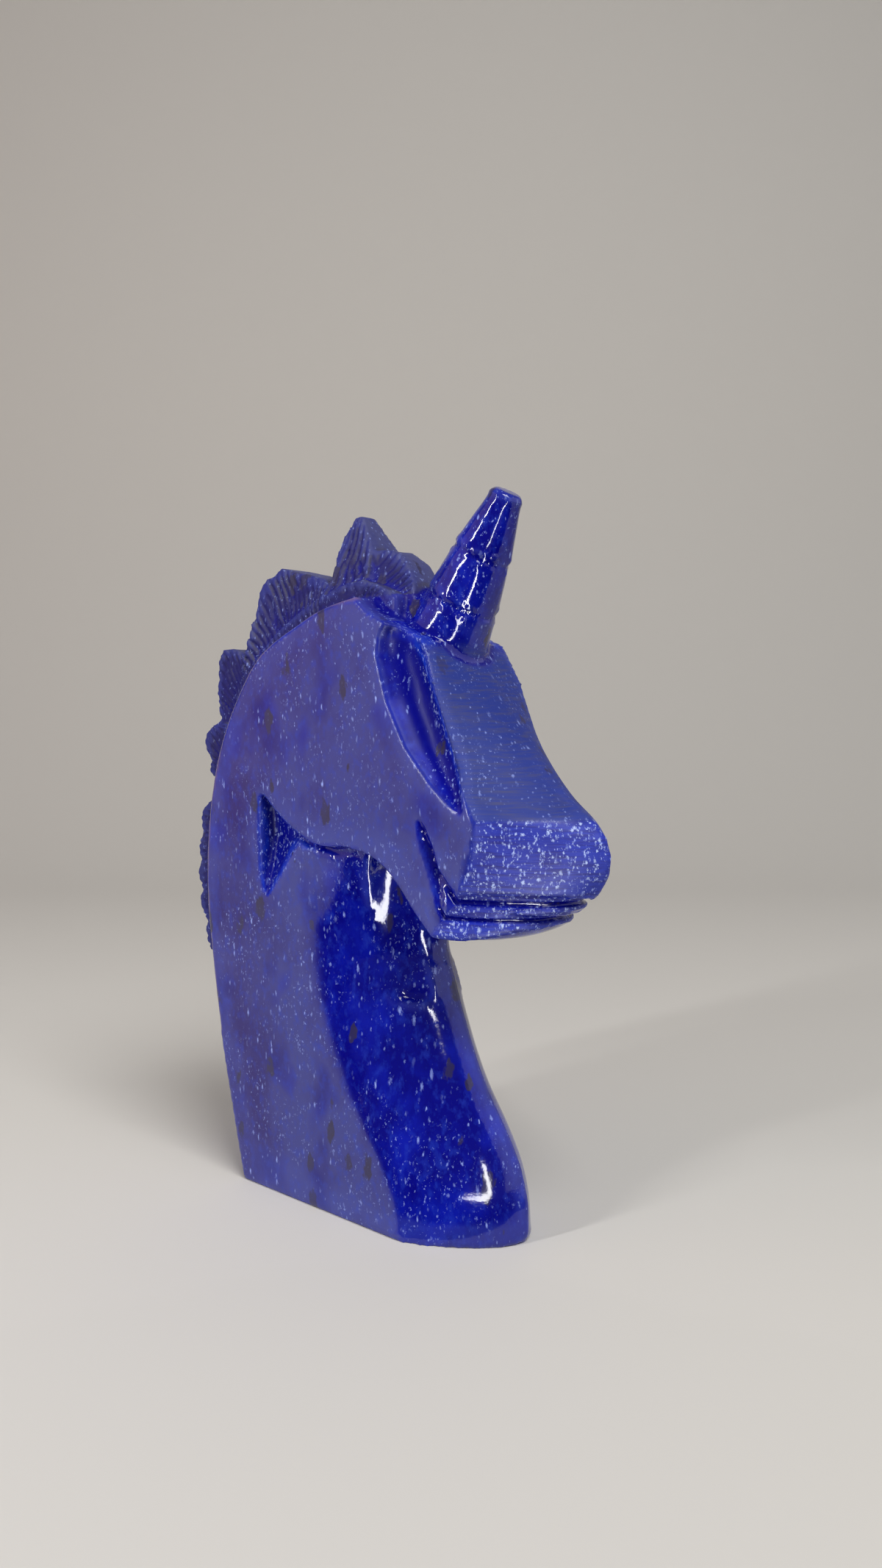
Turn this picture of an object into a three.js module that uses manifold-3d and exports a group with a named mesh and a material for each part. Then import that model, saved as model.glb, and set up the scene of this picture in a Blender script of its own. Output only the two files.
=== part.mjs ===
// Unicorn head carving: a bust cut from one slab of dark blue stone.
// Millimetres, +Z up. X is the way the animal faces, Y points to its left side.
// The origin is at the bottom centre of the box around the carving.
import * as THREE from 'three';
import { mergeVertices } from 'three/addons/utils/BufferGeometryUtils.js';
import Module from 'manifold-3d';

const wasm = await Module();
wasm.setup();

// Driving sizes
const HEIGHT = 148; // underside to the tip of the horn
const THICKNESS = 32; // between the two flat polished sides
const HORN_LENGTH = 31.5;
const HORN_FOOT_DIAMETER = 17.4;
const HORN_TIP_DIAMETER = 7.2;
const HORN_LEAN = THREE.MathUtils.degToRad(29); // forward from upright
const HORN_RINGS = [0.26, 0.58]; // places of the two ring cuts, as shares of the length
const HORN_RING_DEPTH = 0.95;
const HORN_RING_WIDTH = 1.7;
const HORN_RING_LIP = 0.12; // how far the stone stands out just below each ring cut
const HORN_SWELL = 0.3; // how far the sides bow out
const HORN_SUNK = 7; // root inside the head
const MOUTH_DEPTH = 3;
const SLIT_DEPTH = 2.6; // of the long slit in each cheek
const STRAND_DEPTH = 1.3; // of the lines cut in the mane
const STRAND_WIDTH = 1.7;
const MANE_WIDTH = 19; // across the root of the mane
const CREST_CHAMFER = 1;

// The side view is drawn on a grid of this many squares in the height. Column 0 is
// under the eye, so the middle of the length lies a few columns behind it
const GRID_ROWS = 148;
const square = HEIGHT / GRID_ROWS;
const halfThickness = THICKNESS / 2;
const halfMane = MANE_WIDTH / 2;
const CENTRE_SHIFT = 3.1 * square; // brings the middle of the length to X = 0
const OVERSHOOT = 12; // how far cutters and trimmed blanks run past the stone

// One point of the side view, as a place in the middle plane or at a given Y
const place = (column, row, y = 0) => new THREE.Vector3(column * square, y, row * square);
const flatPoint = ([column, row]) => new THREE.Vector2(column * square, row * square);

// A closed three.js geometry as a solid that can be joined and cut
function solidFrom(geometry) {
  geometry.deleteAttribute('normal');
  geometry.deleteAttribute('uv');
  const merged = mergeVertices(geometry, 1e-4);
  const vertProperties = new Float32Array(merged.attributes.position.array);
  const corners = [];
  const index = merged.index.array;
  for (let i = 0; i < index.length; i += 3) {
    const [a, b, c] = [index[i], index[i + 1], index[i + 2]];
    if (a !== b && b !== c && a !== c) corners.push([a, b, c]);
  }
  const at = (i) => new THREE.Vector3().fromArray(vertProperties, 3 * i);
  const volume = corners.reduce((sum, [a, b, c]) => sum + at(a).dot(at(b).cross(at(c))), 0);
  const outward = volume > 0 ? corners : corners.map(([a, b, c]) => [a, c, b]);
  const triVerts = new Uint32Array(outward.flat());
  return new wasm.Manifold(new wasm.Mesh({ numProp: 3, vertProperties, triVerts }));
}

function geometryFrom(solid) {
  const mesh = solid.getMesh();
  const geometry = new THREE.BufferGeometry();
  geometry.setAttribute('position', new THREE.BufferAttribute(mesh.vertProperties, 3));
  geometry.setIndex(new THREE.BufferAttribute(mesh.triVerts, 1));
  geometry.computeVertexNormals();
  return geometry;
}

const join = (solids) => solids.reduce((whole, solid) => whole.add(solid));

// A cylinder whose rings are moved onto the given rings of points
function loft(rings) {
  const count = rings[0].length;
  const geometry = new THREE.CylinderGeometry(1, 1, 1, count, rings.length - 1);
  const position = geometry.attributes.position;
  const corner = new THREE.Vector3();
  for (let i = 0; i < position.count; i += 1) {
    corner.fromBufferAttribute(position, i);
    const ring = rings[Math.round((0.5 - corner.y) * (rings.length - 1))];
    if (Math.hypot(corner.x, corner.z) < 0.5) {
      corner.set(0, 0, 0);
      ring.forEach((point) => corner.addScaledVector(point, 1 / count));
    } else {
      const turn = Math.atan2(corner.x, corner.z) / (2 * Math.PI);
      corner.copy(ring[(Math.round(turn * count) + count) % count]);
    }
    position.setXYZ(i, corner.x, corner.y, corner.z);
  }
  return solidFrom(geometry);
}

// A side view outline cut straight through from one side to the other
function plate(shape, halfWidth) {
  const geometry = new THREE.ExtrudeGeometry(shape, {
    depth: 2 * halfWidth,
    bevelEnabled: false,
    curveSegments: 3,
  });
  geometry.rotateX(Math.PI / 2);
  geometry.translate(0, halfWidth, 0);
  return solidFrom(geometry);
}

// A tool mark along a path: its section has a half width and a depth at each point,
// and outward is the way the cut surface faces. Four sides make a V, more a round channel.
function groove(path, outward, sides = 4) {
  const rings = path.map(({ at, halfWidth, depth }, i) => {
    const before = path[Math.max(i - 1, 0)].at;
    const after = path[Math.min(i + 1, path.length - 1)].at;
    const along = after.clone().sub(before).normalize();
    const out = outward.clone().addScaledVector(along, -outward.dot(along)).normalize();
    const across = along.clone().cross(out);
    return Array.from({ length: sides }, (_, k) => {
      const angle = (2 * Math.PI * k) / sides;
      return at
        .clone()
        .addScaledVector(out, depth * Math.cos(angle))
        .addScaledVector(across, halfWidth * Math.sin(angle));
    });
  });
  return loft(rings);
}

// Straight line between the rows of a table that is sorted by its first column
function lookUp(table, value) {
  const last = table.length - 1;
  const next = table.findIndex((row) => row[0] >= value);
  if (next === 0) return table[0];
  if (next < 0) return table[last];
  const [low, high] = [table[next - 1], table[next]];
  const share = (value - low[0]) / (high[0] - low[0]);
  return low.map((number, i) => THREE.MathUtils.lerp(number, high[i], share));
}

// Front of the stone in plan, row by row up the height:
// row, column where the flat side ends, column of the tip, and two powers that
// make the turn between them blunt or keen
const NECK_FRONT = [
  [-2, 15, 32.6, 1.67, 0.83],
  [2, 13, 34.3, 1.67, 0.83],
  [8, 10.5, 34.2, 1.67, 0.8],
  [15, 6.2, 32.3, 1.67, 0.78],
  [21, 1.2, 28.9, 1.67, 0.76],
  [28, -5, 24.2, 1.67, 0.74],
  [36, -10.3, 20.4, 1.67, 0.7],
  [45, -15.4, 17, 1.67, 0.66],
  [50, -18, 15.3, 1.67, 0.62],
  [55, -20.8, 13.3, 1.67, 0.58],
  [60, -23.3, 12.6, 1.67, 0.54],
  [64, -24.8, 16, 1.67, 0.53],
  [71, -26.2, 22, 1.67, 0.5],
  [80, -26.2, 26, 1.67, 0.48],
  [92, -26.2, 27, 1.67, 0.48],
];
const HEAD_FRONT = [
  [58, 19, 26, 2, 0.5],
  [61.4, 21.5, 33.5, 2, 0.5],
  [62.7, 23.4, 38.2, 2, 0.5],
  [64.3, 24.6, 41.3, 2, 0.6],
  [66.5, 25.6, 43.6, 2.2, 0.9],
  [69, 27.6, 47, 2, 1],
  [71.5, 29, 50, 1.6, 1],
  [75, 30.8, 52, 1.45, 1],
  [78.6, 31.9, 52.4, 1.4, 1],
  [82, 32.6, 51.2, 1.4, 1],
  [84.6, 32.7, 49, 1.4, 1],
  [88, 30.6, 44, 1.4, 1],
  [92, 28.4, 39.8, 1.4, 1],
  [96, 26.2, 35.9, 1.45, 1],
  [100, 24.4, 32.1, 1.5, 1],
  [105, 22.8, 28, 1.6, 1],
  [111, 21, 23.4, 2, 1],
  [117, 18.3, 19.4, 2, 1],
  [124, 15, 15.6, 2, 1],
  [132, 12, 12.4, 2, 1],
];
const FRONT_STEPS = 24; // flats across the rounded front in plan

const frontColumn = (table, row, side) => {
  const [, flat, tip, roundness, keenness] = lookUp(table, row);
  return flat + (tip - flat) * (1 - Math.abs(side) ** roundness) ** keenness;
};

// A stack of plan sections with flat sides and the shaped front
function frontedBlank(table) {
  const rings = table.map(([row]) => {
    const ring = [];
    for (let i = 0; i <= FRONT_STEPS; i += 1) {
      const side = Math.sin((Math.PI / 2) * ((2 * i) / FRONT_STEPS - 1));
      ring.push(place(frontColumn(table, row, side), row, side * halfThickness));
    }
    ring.push(place(BACK_LIMIT, row, halfThickness), place(BACK_LIMIT, row, -halfThickness));
    return ring;
  });
  return loft(rings);
}

// Side view: the back of the polished side, from the underside up to the horn
const BACK_EDGE = [
  [-32.9, 0],
  [-36.9, 16.5],
  [-40.5, 32.7],
  [-43.4, 50.8],
  [-44.7, 65.9],
  [-43.3, 82.7],
  [-38.5, 98.8],
  [-27.5, 115.4],
  [-13.7, 123],
  [-5.5, 126],
  [2.6, 127.6],
];
const JAW_LINE = [
  [-26.2, 87.9],
  [-20.6, 83.2],
  [-15, 79.7],
  [-8.4, 77.3],
  [-0.9, 77.5],
  [6.3, 76.4],
  [12.1, 73],
  [17.8, 66.7],
  [22.5, 62],
];
const FRONT_LIMIT = 62; // a column in front of the whole stone
const BACK_LIMIT = -70; // and one behind it
const NECK_RISE = [0.6, 2.5]; // how far the neck runs up inside the head, past the jaw line

function neck() {
  const shape = new THREE.Shape();
  shape.moveTo(...flatPoint([FRONT_LIMIT, 0]));
  shape.lineTo(...flatPoint(BACK_EDGE[0]));
  shape.splineThru(BACK_EDGE.slice(1, 7).map(flatPoint));
  // The top runs a little above the jaw, inside the head
  shape.lineTo(...flatPoint([-26.2, 91]));
  const [forward, up] = NECK_RISE;
  JAW_LINE.slice(1).forEach(([column, row]) => shape.lineTo(...flatPoint([column + forward, row + up])));
  shape.lineTo(...flatPoint([FRONT_LIMIT, 60]));
  return plate(shape, halfThickness + OVERSHOOT).intersect(frontedBlank(NECK_FRONT));
}

function head() {
  const shape = new THREE.Shape();
  shape.moveTo(...flatPoint(JAW_LINE[0]));
  shape.splineThru(JAW_LINE.slice(1).map(flatPoint));
  shape.lineTo(...flatPoint([FRONT_LIMIT, 60.8]));
  // The brow slopes square to the horn
  shape.lineTo(...flatPoint([FRONT_LIMIT, 96]));
  shape.lineTo(...flatPoint([6, 124.6]));
  shape.lineTo(...flatPoint([2.6, 127.6]));
  shape.splineThru(BACK_EDGE.slice(4, 10).reverse().map(flatPoint));
  return plate(shape, halfThickness + OVERSHOOT).intersect(frontedBlank(HEAD_FRONT));
}

const bothSides = (make) => join([-1, 1].map((side) => make(side)));
const sideways = (side) => new THREE.Vector3(0, side, 0);

// Hollow under the jaw: an upright scoop that leaves a thin web in the middle. Each level
// has its row, the column and offset of its middle, and half its width and its depth
function throatHollow(side) {
  const levels = [
    [46, 15, 18.6, 11, 14.2],
    [50, 15, 18.6, 14.2, 14.6],
    [56, 15, 18.6, 15.4, 14.6],
    [66, 15, 18.6, 14.6, 14.6],
    [80, 15, 18.6, 12.6, 14.2],
  ];
  const path = levels.map(([row, column, offset, halfWidth, depth]) => ({
    at: place(column, row, side * offset * square),
    halfWidth: halfWidth * square,
    depth: depth * square,
  }));
  return groove(path, sideways(side), 24);
}

// Three-cornered pocket behind the jaw, with a steep wall at the back. Each level has its
// row, its rear and front columns and its depth
const POCKET_WALL = [-0.2, 0.9]; // columns from the rear edge to the wall's head and foot
const POCKET_SLOPE = 0.72; // depth midway to the front, as a share of the deepest
const POCKET_MIDDLE = 0.5; // columns that this midway point lies past the middle
const POCKET_RUN = [3, 2]; // how far the cutter runs past the front edge and the face

function jawPocket(side) {
  const levels = [
    [64.5, -25.4, -24, 0.3],
    [71, -26.2, -18.4, 3],
    [78.5, -26.3, -11.2, 4.6],
    [83.5, -26.3, -14, 4.4],
    [90, -26.2, -22, 3],
  ];
  const rings = levels.map(([row, rear, front, depth]) => {
    const outside = side * (halfThickness + POCKET_RUN[1]);
    const inside = side * (halfThickness - depth * square);
    const midway = side * (halfThickness - POCKET_SLOPE * depth * square);
    return [
      place(rear + POCKET_WALL[0], row, outside),
      place(rear + POCKET_WALL[1], row, inside),
      place((rear + front) / 2 + POCKET_MIDDLE, row, midway),
      place(front + POCKET_RUN[0], row, outside),
    ];
  });
  return loft(rings);
}

const marks = (points, side, surface) =>
  points.map(([column, row, halfWidth, depth]) => ({
    at: place(column, row, side * surface),
    halfWidth: halfWidth * square,
    depth,
  }));

// Narrow cut that sets the jaw off from the neck
function jawGroove(side) {
  const points = [
    [-19, 81.4, 0.8, 3],
    [-12, 77.6, 1.3, 3.6],
    [-5, 76.2, 1.5, 4.4],
    [1.5, 76.4, 1.6, 5],
  ];
  return groove(marks(points, side, halfThickness), sideways(side));
}

// Smooth channel of the eye between the flat side and the brow
function eyeChannel(side) {
  const points = [
    [13.6, 122.6, 2, 17.4],
    [13.8, 120.2, 4.4, 16.8],
    [14, 117, 5.4, 16.6],
    [16.6, 109, 5.5, 16.4],
    [20.8, 100.4, 5, 16.4],
    [25.6, 93.2, 3.6, 16.3],
    [30, 86, 0.8, 16.4],
  ];
  const path = points.map(([column, row, radius, offset]) => ({
    at: place(column, row, side * offset * square),
    halfWidth: radius * square,
    depth: radius * square,
  }));
  return groove(path, sideways(side), 16);
}

// Corner of the eye, a short wedge below the channel
function eyeWedge(side) {
  const points = [
    [15.2, 106, 0.4, 1],
    [18, 101, 1.5, 3.4],
    [21.4, 95.6, 0.2, 0.6],
  ];
  return groove(marks(points, side, halfThickness), sideways(side));
}

function cheekSlit(side) {
  const points = [
    [18.2, 86.8, 0.1, 0.3],
    [20.2, 82.6, 0.9, 0.9],
    [21.8, 78.6, 1.4, 1],
    [23.4, 74.4, 1.2, 1],
    [24.5, 70.4, 0.8, 1],
    [25.3, 66.4, 0.5, 0.8],
  ].map(([column, row, halfWidth, share]) => [column, row, halfWidth, share * SLIT_DEPTH]);
  return groove(marks(points, side, halfThickness), sideways(side));
}

// A lip line round the front, from one cheek to the other; ends lists how it
// runs up each cheek, as column and row
function lipLine(row, halfWidth, ends) {
  const path = [];
  const add = (column, level, y, share) => {
    const at = place(column, level, y);
    path.push({ at, halfWidth: halfWidth * share * square, depth: MOUTH_DEPTH * share });
  };
  ends.forEach(([column, level, share]) => add(column, level, -halfThickness, share));
  for (let i = 1; i < FRONT_STEPS; i += 1) {
    const side = Math.sin((Math.PI / 2) * ((2 * i) / FRONT_STEPS - 1));
    add(frontColumn(HEAD_FRONT, row, side), row, side * halfThickness, 1);
  }
  [...ends].reverse().forEach(([column, level, share]) => add(column, level, halfThickness, share));
  return groove(path, new THREE.Vector3(0, 0, 1), 4);
}

// Root of the mane: a band along the back of the head, narrower than the slab
function maneRoot() {
  const shape = new THREE.Shape();
  shape.moveTo(...flatPoint([-36, 34]));
  shape.splineThru(
    [
      [-44.5, 40],
      [-49.8, 52],
      [-50.6, 66],
      [-49.6, 80],
      [-47.4, 92],
      [-43, 104],
      [-36, 115],
      [-26, 123],
      [-13, 129],
      [-2, 131.5],
      [8, 128],
    ].map(flatPoint),
  );
  shape.lineTo(...flatPoint([9, 116]));
  shape.lineTo(...flatPoint([-12, 112]));
  shape.lineTo(...flatPoint([-32, 88]));
  shape.lineTo(...flatPoint([-36, 60]));
  return plate(shape, halfMane);
}

// Locks of the mane. Each outline has column, row and the share of the mane's
// width there, and strands are the lines cut in its two faces, root to tip
const LOCKS = [
  {
    outline: [
      [-8, 118, 1], [10, 116, 0.9], [10.4, 124, 0.74], [8.8, 130.6, 0.56], [5.6, 135.4, 0.4],
      [1.4, 138, 0.34], [-2, 138.4, 0.4], [-4.4, 133.6, 0.8], [-6, 129, 1],
    ],
    strands: [[[-3.4, 128.5], [-2.2, 132], [-1.4, 136.6]]],
  },
  {
    outline: [
      [-17, 122, 1], [-3, 124, 1], [-1.8, 131, 0.95], [-3, 138, 0.5], [-6.2, 143, 0.28],
      [-8.2, 146, 0.22], [-10.2, 146, 0.24], [-12, 141.2, 0.46], [-12.6, 135.2, 0.72], [-12.6, 128, 0.95],
    ],
    strands: [
      [[-11.6, 129.5], [-11.6, 136], [-10.1, 143]],
      [[-8.8, 129.5], [-9.8, 136], [-9.2, 142.4]],
      [[-6.2, 129.5], [-8, 135.4], [-8.2, 141]],
      [[-3.8, 131], [-5.6, 135], [-6.8, 139]],
    ],
  },
  {
    outline: [
      [-34, 108, 1], [-12, 122, 1], [-11.6, 129.6, 0.95], [-15.3, 133, 0.7], [-24, 135, 0.56],
      [-31, 136.6, 0.5], [-33.6, 134.8, 0.5], [-35.6, 134.6, 0.52], [-37.2, 131.6, 0.62],
      [-37.6, 124, 0.85], [-39.5, 115, 1],
    ],
    strands: [
      [[-31.4, 115.6], [-34.2, 119.4], [-37.4, 121.6]],
      [[-29.6, 117.4], [-33.2, 123], [-36.6, 127]],
      [[-27.4, 118.8], [-31.2, 125.6], [-34.8, 132.4]],
      [[-25, 120.2], [-28.6, 127.4], [-31.4, 135.2]],
      [[-22.2, 121.6], [-25.2, 128.4], [-27.4, 134.6]],
      [[-19.2, 123.4], [-21.4, 128.8], [-23.6, 133.8]],
      [[-16.2, 125.4], [-17.6, 129], [-19.4, 132.6]],
    ],
  },
  {
    outline: [
      [-41, 98, 1], [-34, 112, 1], [-38.4, 117.6, 0.9], [-45.7, 119.2, 0.65], [-50, 119, 0.62],
      [-51.8, 116.4, 0.62], [-51.6, 110, 0.68], [-50.4, 104, 0.75], [-46.5, 101.5, 0.95],
    ],
    strands: [
      [[-40.6, 111], [-44, 114.4], [-48.6, 117.6]],
      [[-42.4, 107.6], [-46.4, 110.6], [-51, 112.6]],
      [[-43.8, 104.4], [-47, 106.2], [-50.4, 107.4]],
    ],
  },
];

function lock({ outline }) {
  const shape = new THREE.Shape(outline.map(flatPoint));
  const geometry = new THREE.ExtrudeGeometry(shape, { depth: 2, bevelEnabled: false });
  geometry.translate(0, 0, -1);
  geometry.rotateX(Math.PI / 2);
  const position = geometry.attributes.position;
  for (let i = 0; i < position.count; i += 1) {
    const [column, row] = [position.getX(i) / square, position.getZ(i) / square];
    const share = outline.find(([c, r]) => Math.hypot(c - column, r - row) < 0.01)[2];
    position.setY(i, Math.sign(position.getY(i)) * share * halfMane);
  }
  return solidFrom(geometry);
}

// How far out the face of a lock lies at a point of the side view
function lockFace(outline, column, row) {
  let weight = 0;
  let total = 0;
  outline.forEach(([c, r, share]) => {
    const pull = 1 / ((c - column) ** 2 + (r - row) ** 2 + 0.01) ** 1.5;
    weight += pull;
    total += pull * share;
  });
  return (total / weight) * halfMane;
}

// Width and depth of a strand line at its root, middle and tip, as shares of the largest
const STRAND_SWELL = [[0.65, 0.75], [1, 1], [0.35, 0.4]];

function strands({ outline, strands: lines }) {
  return lines.flatMap((line) =>
    [-1, 1].map((side) => {
      const path = line.map(([column, row], i) => ({
        at: place(column, row, side * lockFace(outline, column, row)),
        halfWidth: (STRAND_WIDTH / 2) * STRAND_SWELL[i][0],
        depth: STRAND_DEPTH * STRAND_SWELL[i][1],
      }));
      return groove(path, sideways(side));
    }),
  );
}

// Small locks down the back of the neck: row of the outer corner, how far it
// reaches past the root, and its height
const SMALL_LOCKS = [
  { row: 97.8, column: -55.4, height: 6.4 },
  { row: 91.6, column: -53.8, height: 4.2 },
  { row: 79, column: -57.2, height: 8 },
  { row: 72.4, column: -58.2, height: 6.6 },
  { row: 66.2, column: -58.6, height: 6.4 },
  { row: 59.8, column: -58, height: 6.6 },
  { row: 52.6, column: -56, height: 8 },
];
const SMALL_LOCK_ROOT = -42; // column inside the stone
// Outline past the root: columns from the outer corner, rows from it as shares of the
// height, and the share of the mane's width
const SMALL_LOCK_SHAPE = [
  [5.6, 0.62, 0.95],
  [1.2, 0.32, 0.8],
  [0, 0, 0.8],
  [0.5, -0.38, 0.8],
  [3.2, -0.62, 0.9],
];

function smallLock({ row, column, height }) {
  const edge = SMALL_LOCK_SHAPE.map(([back, up, share]) => [column + back, row + up * height, share]);
  const top = edge[0][1];
  const bottom = edge[edge.length - 1][1];
  return lock({ outline: [[SMALL_LOCK_ROOT, bottom, 1], [SMALL_LOCK_ROOT, top, 1], ...edge] });
}

// Chamfer along the edge between the polished side and the mane
const CREST_STEPS = 20;

function crestChamfer(side) {
  const edge = new THREE.SplineCurve(BACK_EDGE.slice(2).map(flatPoint));
  const size = CREST_CHAMFER * Math.SQRT1_2;
  const path = edge.getPoints(CREST_STEPS).map((point) => ({
    at: new THREE.Vector3(point.x, side * halfThickness, point.y),
    halfWidth: size,
    depth: size,
  }));
  return groove(path, sideways(side));
}

// Horn with two ring cuts, standing square on the brow
const HORN_PLACE = [13.4, 119.6];
const HORN_ROOT = 0.6; // width of the sunk end, as a share of the foot's
const HORN_TIP_ROUNDING = 0.45; // as a share of the tip's radius
const HORN_TIP_STEPS = 4;
const HORN_SIDES = 32;

function horn() {
  const foot = HORN_FOOT_DIAMETER / 2;
  const tip = HORN_TIP_DIAMETER / 2;
  const radiusAt = (share) =>
    THREE.MathUtils.lerp(foot, tip, share) + HORN_SWELL * Math.sin(Math.PI * share);
  const profile = [new THREE.Vector2(0, -HORN_SUNK), new THREE.Vector2(foot * HORN_ROOT, -HORN_SUNK)];
  profile.push(new THREE.Vector2(foot, 0));
  HORN_RINGS.forEach((share) => {
    const middle = share * HORN_LENGTH;
    profile.push(
      new THREE.Vector2(radiusAt(share) + HORN_RING_LIP, middle - HORN_RING_WIDTH / 2),
      new THREE.Vector2(radiusAt(share) - HORN_RING_DEPTH, middle),
      new THREE.Vector2(radiusAt(share), middle + HORN_RING_WIDTH / 2),
    );
  });
  const rounding = tip * HORN_TIP_ROUNDING;
  for (let i = 0; i <= HORN_TIP_STEPS; i += 1) {
    const angle = (i / HORN_TIP_STEPS) * (Math.PI / 2);
    profile.push(
      new THREE.Vector2(
        tip - rounding + rounding * Math.cos(angle),
        HORN_LENGTH - rounding + rounding * Math.sin(angle),
      ),
    );
  }
  profile.push(new THREE.Vector2(0, HORN_LENGTH));
  const geometry = new THREE.LatheGeometry(profile, HORN_SIDES);
  geometry.rotateX(Math.PI / 2);
  geometry.rotateY(HORN_LEAN);
  geometry.translate(...place(...HORN_PLACE));
  return solidFrom(geometry);
}

function carving() {
  const neckStone = neck()
    .subtract(bothSides(throatHollow))
    .subtract(bothSides(jawPocket))
    .subtract(bothSides(jawGroove));
  const headStone = head()
    .subtract(bothSides(eyeChannel))
    .subtract(bothSides(eyeWedge))
    .subtract(bothSides(cheekSlit))
    .subtract(lipLine(69.2, 1.1, [[23.4, 75, 0.35], [25.2, 72.8, 0.8], [26.8, 70.8, 1]]))
    .subtract(lipLine(66, 0.85, [[24.6, 67.6, 0.5], [25.2, 66.3, 0.9]]));
  const slab = neckStone.add(headStone).subtract(bothSides(crestChamfer));
  const mane = join([maneRoot(), ...LOCKS.map(lock), ...SMALL_LOCKS.map(smallLock)]);
  const carvedMane = mane.subtract(join(LOCKS.flatMap(strands)));
  return join([slab, carvedMane, horn()]);
}

const stone = new THREE.MeshStandardMaterial({ color: 0x1c2fae, roughness: 0.12, metalness: 0 });
const unicornHead = new THREE.Mesh(geometryFrom(carving()), stone);
unicornHead.name = 'unicorn_head';
unicornHead.position.x = CENTRE_SHIFT;

const model = new THREE.Group();
model.add(unicornHead);
export default model;
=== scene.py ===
"""Unicorn head carving: the finish of a bust cut from one slab of dark blue stone."""

import math

import bmesh
import bpy
import numpy as np
from bpy.props import FloatProperty, PointerProperty, StringProperty
from mathutils import Euler, Matrix, Vector, noise


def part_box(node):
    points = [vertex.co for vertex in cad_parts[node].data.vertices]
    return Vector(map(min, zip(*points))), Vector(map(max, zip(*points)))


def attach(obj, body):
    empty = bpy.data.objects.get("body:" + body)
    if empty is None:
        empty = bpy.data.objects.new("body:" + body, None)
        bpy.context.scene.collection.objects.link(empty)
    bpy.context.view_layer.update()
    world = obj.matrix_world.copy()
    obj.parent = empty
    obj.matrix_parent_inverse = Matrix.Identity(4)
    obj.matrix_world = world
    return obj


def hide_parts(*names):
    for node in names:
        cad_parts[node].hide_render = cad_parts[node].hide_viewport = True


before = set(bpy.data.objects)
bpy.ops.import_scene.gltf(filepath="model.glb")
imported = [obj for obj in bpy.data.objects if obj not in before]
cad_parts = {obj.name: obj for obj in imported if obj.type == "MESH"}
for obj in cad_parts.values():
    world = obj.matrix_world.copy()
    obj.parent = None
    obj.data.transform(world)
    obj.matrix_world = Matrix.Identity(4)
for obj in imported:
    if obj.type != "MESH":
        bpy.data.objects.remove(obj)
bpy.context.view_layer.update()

bl_info = {
    "name": "Unicorn Head Carving",
    "version": (1, 0, 0),
    "blender": (4, 5, 0),
    "location": "View3D > Sidebar > Carving",
    "description": "Finishes a carved unicorn head in polished blue stone",
    "category": "Object",
}

MM = 0.001
STONE_NODE = "unicorn_head"
LOW, HIGH = (Vector(corner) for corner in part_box(STONE_NODE))
HALF_THICKNESS = HIGH.y

# The side view is drawn on a grid of squares. Rows count up from the underside, and
# columns count forward, towards the nose
GRID_ROWS = 148
SQUARE = (HIGH.z - LOW.z) / GRID_ROWS
CENTRE_COLUMN = 3.1  # squares from column 0 back to the middle of the carving's box

# The crest: where the flat side ends and the mane begins, as column and row
CREST = [
    (-40.5, 32.7), (-43.4, 50.8), (-44.7, 65.9), (-43.3, 82.7), (-38.5, 98.8), (-33.6, 108.0),
    (-27.5, 115.4), (-21.0, 120.2), (-13.7, 123.4), (-5.5, 126.4), (10.0, 128.2), (12.0, 150.0),
]
# Where the strands of each lock run from, as column and row, and the box that the lock fills
COMBS = [
    {"centre": (-9.0, 154.0), "columns": (-14.0, -1.5), "rows": (129.0, 149.0)},
    {"centre": (-14.0, 110.0), "columns": (-1.5, 11.0), "rows": (127.0, 139.0)},
    {"centre": (3.8, 80.4), "columns": (-39.0, -13.5), "rows": (113.0, 138.0)},
    {"centre": (-19.4, 93.4), "columns": (-53.0, -38.0), "rows": (101.0, 120.0)},
    {"centre": (-18.0, 78.0), "columns": (-60.0, -46.0), "rows": (48.0, 101.0)},
]
# The two lines between the lips, from the cheek to the front, as column and row
LIPS = [
    [(23.4, 75.0), (25.2, 72.8), (26.8, 70.8), (28.2, 69.2), (52.0, 69.2)],
    [(24.6, 67.6), (25.6, 66.0), (52.0, 66.0)],
]
LIP_WIDTHS = [0.75, 0.55]  # half of each line's width, in squares
LIP_CUT = 0.7  # how much deeper each line is cut, in millimetres
# Where the flat side ends on the face, and the middle of the eye channel, as row and column
FACE_EDGE = [
    (61.5, 21.6), (66.5, 25.6), (69, 27.6), (75, 30.8), (78.6, 31.9), (84.6, 32.7),
    (88, 30.6), (92, 28.4), (96, 26.2), (100, 24.4), (105, 22.8), (111, 21), (117, 18.3),
]
EYE_LINE = [
    (86, 30), (93.2, 25.6), (100.4, 20.8), (109, 16.6), (117, 14), (120.2, 13.8), (122.6, 13.6),
]
NECK_TOP = 59  # row where the front of the neck ends under the jaw

# The boxes of columns and rows that hold the horn, the lips, and two hollows
HORN = {"columns": (9.0, math.inf), "rows": (122.0, math.inf)}
MOUTH = {"columns": (22.5, math.inf), "rows": (64.0, 71.6)}
JAW_POCKET = {"columns": (-27.0, -9.5), "rows": (63.0, 91.0)}
HORN_NOTCH = {"columns": (-8.0, 9.8), "rows": (119.0, 131.0)}

# Rows and columns between which one finish gives way to the next
CHIN_ROWS = (61.5, 62.5)
MUZZLE_TOP_ROWS = (84.4, 85.2)
NOSE_TOP_ROWS = (115, 119)
CHANNEL_BOTTOM_ROWS = (84, 88)
CHANNEL_TOP_ROWS = (121, 124)
CHANNEL_BACK_COLUMNS = (5, 7)


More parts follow.
